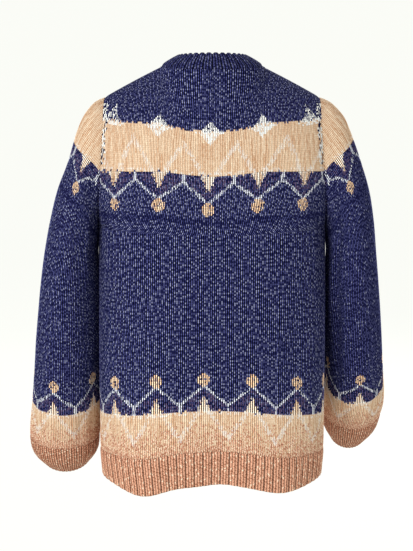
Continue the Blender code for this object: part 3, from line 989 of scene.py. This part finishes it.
class Wire:
    """A socket that takes part in Python expressions, each adding its Math node."""

    def __init__(self, look, socket):
        self.look = look
        self.socket = socket

    __add__ = first_in("ADD")
    __sub__ = first_in("SUBTRACT")
    __mul__ = first_in("MULTIPLY")
    __truediv__ = first_in("DIVIDE")
    __pow__ = first_in("POWER")
    __lt__ = first_in("LESS_THAN")
    __gt__ = first_in("GREATER_THAN")
    __radd__ = second_in("ADD")
    __rsub__ = second_in("SUBTRACT")
    __rmul__ = second_in("MULTIPLY")
    __rtruediv__ = second_in("DIVIDE")
    __rpow__ = second_in("POWER")
    __abs__ = first_in("ABSOLUTE")
    floor = first_in("FLOOR")
    fraction = first_in("FRACT")
    least = first_in("MINIMUM")
    most = first_in("MAXIMUM")


class Look:
    """A material and its nodes."""

    def __init__(self, name):
        self.material = bpy.data.materials.new(name)
        self.material.use_nodes = True
        self.tree = self.material.node_tree
        self.shader = self.tree.nodes["Principled BSDF"]

    def add(self, kind, settings=None, sockets=None, output=0):
        node = self.tree.nodes.new(kind)
        for name, value in (settings or {}).items():
            setattr(node, name, value)
        for key, value in (sockets or {}).items():
            self.set(node, key, value)
        return Wire(self, node.outputs[output])

    def set(self, node, key, value):
        if isinstance(value, Wire):
            self.tree.links.new(value.socket, node.inputs[key])
        elif hasattr(value, "__len__") and len(value) == 3 and node.inputs[key].type == "RGBA":
            node.inputs[key].default_value = (*value, 1)
        else:
            node.inputs[key].default_value = value

    def mix(self, factor, first, second):
        return self.add("ShaderNodeMix", {"data_type": "RGBA"}, {0: factor, 6: first, 7: second}, 2)

    def scale(self, colour, factor):
        grey = self.add("ShaderNodeCombineXYZ", None, {0: factor, 1: factor, 2: factor})
        return self.add("ShaderNodeVectorMath", {"operation": "MULTIPLY"}, {0: colour, 1: grey})

    def chance(self, across, down, seed):
        place = self.add("ShaderNodeCombineXYZ", None, {0: across, 1: down, 2: seed})
        return self.add("ShaderNodeTexWhiteNoise", None, {0: place})

    def numbers(self, layer):
        """The two numbers that a UV map holds at a point."""
        place = self.add("ShaderNodeUVMap", {"uv_map": layer})
        split = self.add("ShaderNodeSeparateXYZ", None, {0: place})
        return split, Wire(self, split.socket.node.outputs[1])

    def cloth(self, colour, height):
        """Finish the material as matt knitted yarn."""
        sizes = {"Height": height, "Distance": YARN_DEPTH, "Strength": YARN_BUMP}
        bump = self.add("ShaderNodeBump", None, sizes)
        self.set(self.shader, "Base Color", colour)
        self.set(self.shader, "Normal", bump)
        self.set(self.shader, "Roughness", YARN_ROUGHNESS)
        self.set(self.shader, "Specular IOR Level", YARN_GLOSS)
        return self.material


def stitch_legs(u, v):
    """The leg of a stitch at a point: its number, its row, its height, and how far it is a crest,
    which sets the painted light on crests and the painted shade in the grooves.
    """
    aside = abs(u.fraction() - 0.5) * 2
    leaning = v + aside * STITCH_LEAN
    across = (u * 2).fraction()
    down = leaning.fraction()
    round_leg = across * (1 - across) * 4
    round_row = down * (1 - down) * 4
    height = (1 - aside * aside) * (1 - LEG_RELIEF + LEG_RELIEF * round_leg)
    height = height * (1 - ROW_RELIEF + ROW_RELIEF * round_row)
    crest = (1 - aside * aside * CREST_NARROWNESS).most(0)
    crest = crest * (1 - CREST_ROW_SHADE + CREST_ROW_SHADE * round_row)
    return (u * 2).floor(), leaning, height, crest


def strand_at(look, pick, strands, share_dark, share_light):
    """The strand in front, out of a dark, a main and a pale one, for a pick between 0 and 1."""
    dark, main, light = strands
    colour = look.mix(pick < share_dark, main, dark)
    return look.mix(pick > 1 - share_light, colour, light)


def marl(look, leg, place, strands, share_dark, share_light):
    """A yarn twisted of three strands, which come to the front in turn, nearly evenly."""
    turn = (place * STRANDS_PER_ROW).floor()
    uneven = look.chance(leg, turn, SEED_MARL) * TWIST_UNEVENNESS
    pick = (leg * TWIST_PER_LEG + turn * TWIST_PER_TURN + uneven).fraction()
    return strand_at(look, pick, strands, share_dark, share_light)


def flecked(look, stitch, row, strands, share_dark, share_light):
    """The navy marl: its strands are spread evenly over small blocks, in chance order."""
    block = (stitch / FLECK_STITCHES).floor()
    staggered = row + block
    level = (staggered / FLECK_ROWS).floor()
    cell = stitch - block * FLECK_STITCHES + (staggered - level * FLECK_ROWS) * FLECK_STITCHES
    cells = FLECK_STITCHES * FLECK_ROWS
    start = (look.chance(block, level, SEED_FLECK_START) * cells).floor()
    pick = ((cell + start + look.chance(stitch, row, SEED_FLECK)) / cells).fraction()
    return strand_at(look, pick, strands, share_dark, share_light)


class Chart:
    """The knitted chart at a point: the stitch and its place in the colour pattern."""

    def __init__(self, look, hem_row):
        u, v = look.numbers("stitches")
        column, _ = look.numbers("pattern")
        self.look = look
        self.leg, self.place, self.height, self.crest = stitch_legs(u, v)
        self.row = self.place.floor()
        self.stitch = u.floor()
        self.column = column - u.fraction() + 0.5
        self.aside = abs((self.column / REPEAT + 0.5).fraction() - 0.5) * REPEAT
        self.inwards = self.row.least(hem_row - 1 - self.row)
        self.within = self.inwards > CHANGE_ROW
        self.wisps = self.by_leg(SEED_WISPS)

    def by_leg(self, seed):
        """A chance number for each leg of a stitch."""
        return self.look.chance(self.leg, self.row, seed)

    def by_stitch(self, seed):
        """A chance number for each stitch."""
        return self.look.chance(self.stitch, self.row, seed)

    def by_column(self, seed):
        """A chance number for each column of stitches."""
        return self.look.chance(self.stitch, 0, seed)

    def line(self, zigzag):
        """Where a zigzag's line runs."""
        from_line = abs(self.inwards - zigzag.row + self.aside * zigzag.slope)
        return from_line < zigzag.half_height


def navy_ground(chart, yarns, share_light):
    """The navy, darker and mauve between zigzag and peach, with a painted shade line along the
    crease below the dots.
    """
    above_zigzag = chart.inwards + chart.aside * GREY_ZIGZAG.slope < ABOVE_ZIGZAG_ROWS
    above_zigzag = above_zigzag * chart.within
    near_pattern = (chart.inwards < NEAR_PATTERN_ROWS) * chart.within
    # Painted shade along a crease below the dots
    below_dots_crease_shade = abs(chart.row - BELOW_DOTS_ROW) < LINE_HALF_HEIGHT
    light = share_light + near_pattern * NEAR_PATTERN.light + above_zigzag * ABOVE_ZIGZAG.light
    light = light + below_dots_crease_shade * BELOW_DOTS_CREASE_SHADE.light
    dark = PANEL_NAVY.dark + above_zigzag * ABOVE_ZIGZAG.dark + below_dots_crease_shade * BELOW_DOTS_CREASE_SHADE.dark
    navies = yarns.navy_dark, yarns.navy, yarns.navy_light
    navy = flecked(chart.look, chart.stitch, chart.row, navies, dark, light)
    mauve = chart.by_leg(SEED_MAUVE) > 1 - MAUVE_SHARE
    return chart.look.mix(mauve * above_zigzag, navy, yarns.mauve)


def peach_ground(chart, yarns, hem_row, fading_rows, with_yoke_top):
    """The peach in streaks, with its faint zigzag, fading to the rib's darker yarn at the hem as
    painted shade.
    """
    look, leg, place = chart.look, chart.leg, chart.place
    streak = look.chance(leg, (place / STREAK_ROWS).floor(), SEED_STREAK)
    fleck = look.chance(leg, (place * STRANDS_PER_ROW).floor(), SEED_PEACH_FLECK)
    blend = streak * STREAK_SHARE + fleck * (1 - STREAK_SHARE)
    peach = look.mix(blend, yarns.peach_dark, yarns.peach_light)
    strands = yarns.rib_dark, yarns.rib, yarns.rib_light
    rib = marl(look, leg, place, strands, FADE_STRAND_SHARE, FADE_STRAND_SHARE)
    # Painted shade: the peach darkens towards the hem with the rib's yarn
    start = chart.by_column(SEED_FADE_START) * FADE_RAGGED_ROWS
    painted_shade_towards_hem = (chart.row - hem_row - FADE_AFTER_ROWS + start) / fading_rows
    peach = look.mix(chart.by_leg(SEED_FADE) < painted_shade_towards_hem, peach, rib)
    faint = chart.line(FAINT_ZIGZAG) * (chart.inwards < CHANGE_ROW)
    if not with_yoke_top:
        faint = faint * (chart.row > 0)
    peach = look.mix((chart.wisps < WISPY) * faint * FAINT_COVER, peach, yarns.white)
    edge = (abs(chart.inwards + 1) < LINE_HALF_HEIGHT) * (chart.wisps < EDGE_WISPS)
    return look.mix(edge * EDGE_COVER, peach, yarns.white)


def grey_zigzag(chart):
    """The grey zigzag and the short spikes between the dots."""
    zigzag = chart.line(GREY_ZIGZAG) * (chart.wisps < WISPY)
    spike = abs(chart.inwards - SHORT_SPIKE_ROW) < SHORT_SPIKE_HALF_HEIGHT
    spike = spike * (chart.aside > SHORT_SPIKE_ASIDE) * (chart.wisps < SHORT_SPIKE_WISPS)
    return zigzag.most(spike)


def peach_dot(chart):
    """The dots beyond the zigzag."""
    from_dot = abs(chart.inwards - DOT_ROW)
    dot = chart.aside + (from_dot - DOT_STRAIGHT).most(0) < DOT_HALF_WIDTH
    return dot * (from_dot < DOT_HALF_HEIGHT) * (chart.wisps > DOT_GAPS)


def peach_spike(chart):
    """The spikes that run from the peach towards the dots."""
    reach = chart.aside + chart.inwards * SPIKE_SLOPE + chart.wisps * SPIKE_RAGGED
    return (reach < SPIKE_HALF_WIDTH) * chart.within * (chart.inwards < SPIKE_ROWS)


def white_star(chart):
    """The stars on the yoke's upper edge."""
    above = -YOKE_PEACH_ROWS - chart.row
    outermost = abs(chart.column) > OUTER_STAR_COLUMN
    reach = STAR_REACH + OUTER_STAR_REACH * outermost
    out = (chart.aside / STAR_HALF_WIDTH) ** STAR_POWER + (abs(above) / reach) ** STAR_POWER
    star = (out < STAR_SIZE) * (chart.wisps > STAR_GAPS + OUTER_STAR_GAPS * outermost)
    return star * (above > STAR_FOOT + OUTER_STAR_FOOT * outermost)


def seam_specks(chart):
    """The dark and the white specks beside the armhole seams."""
    edge = chart.stitch.least(PANEL_STITCHES - 1 - chart.stitch)
    beside = edge + chart.by_leg(SEED_SEAM_REACH) * SEAM_UNEVENNESS < SEAM_STITCHES
    beside = beside * (abs(chart.row - SEAM_ROW) < SEAM_HALF_HEIGHT)
    specks = chart.by_stitch(SEED_SEAM_SPECKS)
    return beside * (specks < SEAM_DARK_SHARE), beside * (specks > 1 - SEAM_WHITE_SHARE)


def patterned_knit(name, yarns, hem_row, fading_rows, share_light, with_yoke_top):
    """Plain knitting with the yoke and hem patterns, and on the panels the yoke's upper edge."""
    look = Look(name)
    chart = Chart(look, hem_row)
    navy = navy_ground(chart, yarns, share_light)
    peach = peach_ground(chart, yarns, hem_row, fading_rows, with_yoke_top)
    ragged = (chart.by_stitch(SEED_CHANGE) - 0.5) * RAGGED_ROWS
    in_navy = chart.inwards + ragged > CHANGE_ROW
    if with_yoke_top:
        ragged_top = chart.by_column(SEED_YOKE_TOP) * TOP_RAGGED_ROWS
        in_navy = in_navy.most(chart.row + YOKE_PEACH_ROWS + ragged_top < 0)
    colour = look.mix(in_navy, peach, navy)

    shown = in_navy
    if not with_yoke_top:
        underarm = abs(chart.column - UNDERARM_COLUMN) < UNDERARM_HALF_WIDTH
        shown = 1 - underarm * (chart.row < UNDERARM_ROWS)
    zigzag = grey_zigzag(chart) * shown
    colour = look.mix(zigzag * GREY_COVER, colour, yarns.grey)
    dot, spike = peach_dot(chart), peach_spike(chart)
    if not with_yoke_top:
        dot, spike = dot * shown, spike * shown
    colour = look.mix(dot.most(spike), colour, peach)
    white_strands = spike * (look.chance(chart.leg, 0, SEED_SPIKE) < SPIKE_WHITE_SHARE)
    colour = look.mix(white_strands * SPIKE_WHITE_COVER, colour, yarns.white)
    motif = zigzag.most(dot).most(spike)
    if with_yoke_top:
        star = white_star(chart)
        dark_speck, white_speck = seam_specks(chart)
        colour = look.mix(star, colour, yarns.white)
        colour = look.mix(dark_speck, colour, yarns.navy_dark)
        colour = look.mix(white_speck, colour, yarns.white)
        motif = motif.most(star).most(white_speck)

    # Painted shade in the grooves between stitch columns and painted light on their crests
    groove = PEACH_GROOVE_SHADE + in_navy * (NAVY_GROOVE_SHADE - PEACH_GROOVE_SHADE)
    relief = PEACH_CREST_LIGHT + in_navy * (NAVY_CREST_LIGHT - PEACH_CREST_LIGHT)
    relief = relief * (1 - in_navy * motif * (1 - MOTIF_CREST_LIGHT_SHARE))
    return look.cloth(look.scale(colour, groove + relief * chart.crest), chart.height)


def ribbed_knit(name, strands, band):
    """A ribbed band of one marled yarn."""
    look = Look(name)
    ribs, v = look.numbers("stitches")
    leg, place, height, crest = stitch_legs(ribs * band.stitches, v)
    colour = marl(look, leg, place, strands, band.share_dark, band.share_light)
    # Painted shade in the grooves between the ribs, and between the stitches with painted light on
    # their crests
    across = ribs.fraction()
    ridge = (across.least(1 - across) * GROOVE_SHARPNESS).least(1)
    shade = band.shade + (1 - band.shade) * ridge
    colour = look.scale(colour, (band.groove + band.crest * crest) * shade)
    return look.cloth(colour, height)


def panels_in_scene():
    """Both panels' points and directions, the same for every piece sewn to them."""
    back, front = panel(BACK), panel(FRONT)
    normals = normals_of(back, BACK, False), normals_of(front, FRONT, False)
    share_side_seams(*normals)
    return (back, front), normals


class SWEATER_OT_knit_body(bpy.types.Operator):
    """Knit the back and front panels and both sleeves, with their patterns"""

    bl_idname = "sweater.knit_body"
    bl_label = "Panels and Sleeves"

    def execute(self, context):
        knit = context.scene.sweater_knit
        yarns = context.scene.sweater_yarns
        grids, panel_normals = panels_in_scene()
        for arm in ARMS:
            grid = sleeve_grid(arm, *grids)
            normals = normals_of(grid, -arm.side, True)
            share_armhole(panel_normals, normals, arm.side)
            self.add_sleeve(arm, grid, normals, knit, yarns)
        fading = PANEL_FADING_ROWS
        share_light = PANEL_NAVY.light
        cloth = patterned_knit("patterned knit", yarns, HEM_CHANGE_ROW, fading, share_light, True)
        for name, grid, normals in zip(("back_panel", "front_panel"), grids, panel_normals):
            self.add_panel(name, grid, normals, knit, cloth)
        return {"FINISHED"}

    def add_panel(self, name, grid, normals, knit, cloth):
        columns = grid.shape[1]
        u = np.arange(columns) / COLUMNS_PER_STITCH
        v = panel_rows(grid, knit.row)
        creases = crease_field(name, u, v, knit.row, PANEL_STITCH_WIDTH, False)
        grid = grid + normals * creases[..., None]
        arc = down_columns(grid)
        across = along_rows(grid)
        side = np.minimum(across, across[:, -1:] - across)
        top = np.where(np.abs(panel_shares()) >= NECK_SHARE, arc, arc + 1)
        relief = wales(columns, knit.wale)[None] - seam_dip(side, knit) - seam_dip(top, knit)
        relief = relief - seam_dip(arc[-1] - arc, knit, RIB_SEAM_SHARE)
        maps = {
            "stitches": stitch_map(u, v, False),
            "pattern": stitch_map(pattern_columns(grid, v), v, False),
        }
        knit_piece(name, grid, normals, relief, maps, False, cloth)

    def add_sleeve(self, arm, grid, normals, knit, yarns):
        name = f"{arm.name}_sleeve"
        columns = grid.shape[1]
        u = np.arange(columns + 1) / COLUMNS_PER_STITCH
        v = sleeve_rows(grid, knit.row)
        creases = crease_field(name, u[:-1], v, knit.row, SLEEVE_STITCH_WIDTH, True)
        grid = grid + normals * creases[..., None]
        arc = down_columns(grid)
        relief = wales(columns, knit.wale)[None] - seam_dip(arc, knit)
        relief = relief - seam_dip(arc[-1] - arc, knit, RIB_SEAM_SHARE)
        maps = {
            "stitches": stitch_map(u, v, True),
            "pattern": stitch_map(u + SLEEVE_FIRST_STITCH, v, True),
        }
        label = f"{arm.name} sleeve knit"
        fading = SLEEVE_FADING_ROWS
        cloth = patterned_knit(label, yarns, arm.hem_row, fading, arm.share_light, False)
        knit_piece(name, grid, normals, relief, maps, True, cloth)


class SWEATER_OT_knit_neckband(bpy.types.Operator):
    """Knit the ribbed neckband"""

    bl_idname = "sweater.knit_neckband"
    bl_label = "Neckband"

    def execute(self, context):
        knit = context.scene.sweater_knit
        yarns = context.scene.sweater_yarns
        loop = neck_loop(*panels_in_scene()[0])
        ring = np.concatenate((loop, loop[:1]))
        columns = NECK_RIBS * COLUMNS_PER_RIB
        base = spread(ring, ring, np.arange(columns) / columns)
        grid = collar_grid(base)
        normals = normals_of(grid, 1, True)
        ribs = rib_profile(columns, COLUMNS_PER_RIB, knit.rib)
        arc = down_columns(grid)
        starts = ease(arc[-1] - arc, 0, NECK_RIBS_FROM)
        relief = ribs[None] * starts - seam_dip(arc[-1] - arc, knit)
        scallop = unit(grid[0] - grid[1]) * ribs[:, None] * NECK_SCALLOP
        u = np.arange(columns + 1) / COLUMNS_PER_RIB
        maps = {"stitches": stitch_map(u, arc / knit.band_row, True)}
        navies = yarns.navy_dark, yarns.navy, yarns.navy_light
        cloth = ribbed_knit("navy rib", navies, NECK_BAND)
        top = (0,)
        knit_piece("neckband", grid, normals, relief, maps, True, cloth, top, scallop)
        return {"FINISHED"}


class SWEATER_OT_knit_hem(bpy.types.Operator):
    """Knit the ribbed hem, back and front, and both cuffs"""

    bl_idname = "sweater.knit_hem"
    bl_label = "Hem and Cuffs"

    def execute(self, context):
        knit = context.scene.sweater_knit
        yarns = context.scene.sweater_yarns
        peaches = yarns.rib_dark, yarns.rib, yarns.rib_light
        cloth = ribbed_knit("peach rib", peaches, HEM_BAND)
        for name, side in (("back_hem_rib", BACK), ("front_hem_rib", FRONT)):
            shares = np.linspace(-1, 1, HEM_RIBS_PER_SIDE * COLUMNS_PER_RIB + 1)
            drops = np.linspace(RIB_TOP_DROP, HEM_DROP, HEM_MESH_ROWS + 1)
            leaning = np.exp(-(((shares - side * RIB_LEAN_PLACE) / RIB_LEAN_REACH) ** 2))
            leaning *= RIB_LEAN * side * (1 - shares**WAVE_EDGE_POWER)
            falls = np.linspace(0, 1, HEM_MESH_ROWS + 1)
            grid = np.array([course(side, d, shares - leaning * f) for d, f in zip(drops, falls)])
            normals = normals_of(grid, side, False)
            normals[:, [0, -1], 1] = 0
            self.add_band(name, grid, unit(normals), knit, cloth, False)
        cloth = ribbed_knit("peach cuff rib", peaches, CUFF_BAND)
        for arm in ARMS:
            grid = cuff_grid(arm)
            normals = normals_of(grid, -arm.side, True)
            self.add_band(f"{arm.name}_cuff", grid, normals, knit, cloth, True)
        return {"FINISHED"}

    def add_band(self, name, grid, normals, knit, cloth, closed):
        columns = grid.shape[1]
        per_rib = COLUMNS_PER_CUFF_RIB if closed else COLUMNS_PER_RIB
        arc = down_columns(grid)
        ribs = rib_profile(columns, per_rib, knit.rib * (CUFF_RIB_SHARE if closed else 1))
        starts = ease(arc, 0, BAND_RIBS_FROM)
        relief = ribs[None] * starts - seam_dip(arc, knit, RIB_SEAM_SHARE)
        u = np.arange(columns + (1 if closed else 0)) / per_rib
        maps = {"stitches": stitch_map(u, arc / knit.band_row, closed)}
        foot = (grid.shape[0] - 1,)
        knit_piece(name, grid, normals, relief, maps, closed, cloth, foot)


class SWEATER_OT_set_stage(bpy.types.Operator):
    """Set the camera, the soft lights and the pale round backdrop"""

    bl_idname = "sweater.set_stage"
    bl_label = "Stage"

    def execute(self, context):
        settings = context.scene.sweater_stage
        self.add_camera(context, settings)
        self.add_backdrop(settings)
        for lamp in LAMPS:
            self.add_light(lamp)
        world = bpy.data.worlds.new("studio")
        world.use_nodes = True
        background = world.node_tree.nodes["Background"]
        background.inputs["Color"].default_value = (1, 1, 1, 1)
        background.inputs["Strength"].default_value = settings.soft_light
        context.scene.world = world
        context.scene.view_settings.view_transform = "Standard"
        return {"FINISHED"}

    def add_camera(self, context, settings):
        data = bpy.data.cameras.new("camera")
        data.sensor_fit = "VERTICAL"
        data.sensor_height = SENSOR_HEIGHT
        data.lens = settings.lens
        away = Vector((0, cos(settings.tilt), sin(settings.tilt)))
        place = Vector(VIEW_MIDDLE) + away * settings.distance
        context.scene.camera = self.add_facing(data, place, -away)

    def add_light(self, lamp):
        data = bpy.data.lights.new(lamp.name, "AREA")
        data.shape = "DISK"
        data.size = lamp.size
        data.energy = lamp.power
        self.add_facing(data, Vector(lamp.place), Vector(LIGHT_AIM) - Vector(lamp.place))

    def add_facing(self, data, place, direction):
        """Put a camera or a light at a place, facing in a direction."""
        thing = bpy.data.objects.new(data.name, data)
        thing.location = place
        thing.rotation_mode = "QUATERNION"
        thing.rotation_quaternion = direction.to_track_quat("-Z", "Y")
        bpy.context.scene.collection.objects.link(thing)
        return thing

    def add_backdrop(self, settings):
        turn = np.linspace(0, pi / 2, BOWL_BEND_STEPS + 1)
        bend = BOWL_RADIUS - BOWL_BEND + BOWL_BEND * np.sin(turn)
        reach = np.concatenate(([0, BOWL_FLAT], bend, [BOWL_RADIUS]))[:, None]
        rise = np.concatenate(([0, 0], BOWL_BEND - BOWL_BEND * np.cos(turn), [BOWL_HEIGHT]))
        around = np.linspace(0, 2 * pi, BOWL_SIDES + 1)[:-1]
        level = np.broadcast_to(settings.floor + rise[:, None], (len(rise), BOWL_SIDES))
        points = np.stack([reach * np.cos(around), reach * np.sin(around), level], axis=2)
        faces = grid_faces(len(rise), BOWL_SIDES, True, 0)[1]
        mesh = bpy.data.meshes.new("backdrop")
        mesh.from_pydata(points.reshape(-1, 3).tolist(), [], faces.tolist())
        mesh.shade_smooth()
        look = Look("pale paper")
        look.set(look.shader, "Base Color", PAPER_COLOUR)
        look.set(look.shader, "Roughness", PAPER_ROUGHNESS)
        look.set(look.shader, "Emission Color", PAPER_GLOW)
        look.set(look.shader, "Emission Strength", 1)
        mesh.materials.append(look.material)
        backdrop = bpy.data.objects.new("backdrop", mesh)
        bpy.context.scene.collection.objects.link(backdrop)


class SWEATER_PT_sidebar(bpy.types.Panel):
    """Sizes, colours and steps of the sweater."""

    bl_idname = "SWEATER_PT_sidebar"
    bl_label = "Crewneck Sweater"
    bl_space_type = "VIEW_3D"
    bl_region_type = "UI"
    bl_category = "Sweater"

    def draw(self, context):
        layout = self.layout
        for group in (
            context.scene.sweater_knit,
            context.scene.sweater_yarns,
            context.scene.sweater_stage,
        ):
            box = layout.box()
            for name in group.__annotations__:
                box.prop(group, name)
        for operator in OPERATORS:
            layout.operator(operator.bl_idname)


OPERATORS = (
    SWEATER_OT_knit_body,
    SWEATER_OT_knit_neckband,
    SWEATER_OT_knit_hem,
    SWEATER_OT_set_stage,
)
GROUPS = {
    "sweater_knit": KnitSettings,
    "sweater_yarns": YarnColours,
    "sweater_stage": StageSettings,
}


def register():
    """Make the settings, steps and sidebar known to Blender."""
    for kind in (*GROUPS.values(), *OPERATORS, SWEATER_PT_sidebar):
        bpy.utils.register_class(kind)
    for name, kind in GROUPS.items():
        setattr(bpy.types.Scene, name, PointerProperty(type=kind))


def unregister():
    """Take them out again."""
    for name in GROUPS:
        delattr(bpy.types.Scene, name)
    for kind in (SWEATER_PT_sidebar, *OPERATORS, *GROUPS.values()):
        bpy.utils.unregister_class(kind)


def main():
    """Knit every piece and set the stage."""
    register()
    bpy.ops.sweater.knit_body()
    bpy.ops.sweater.knit_neckband()
    bpy.ops.sweater.knit_hem()
    bpy.ops.sweater.set_stage()
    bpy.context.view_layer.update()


if __name__ == "__main__":
    main()
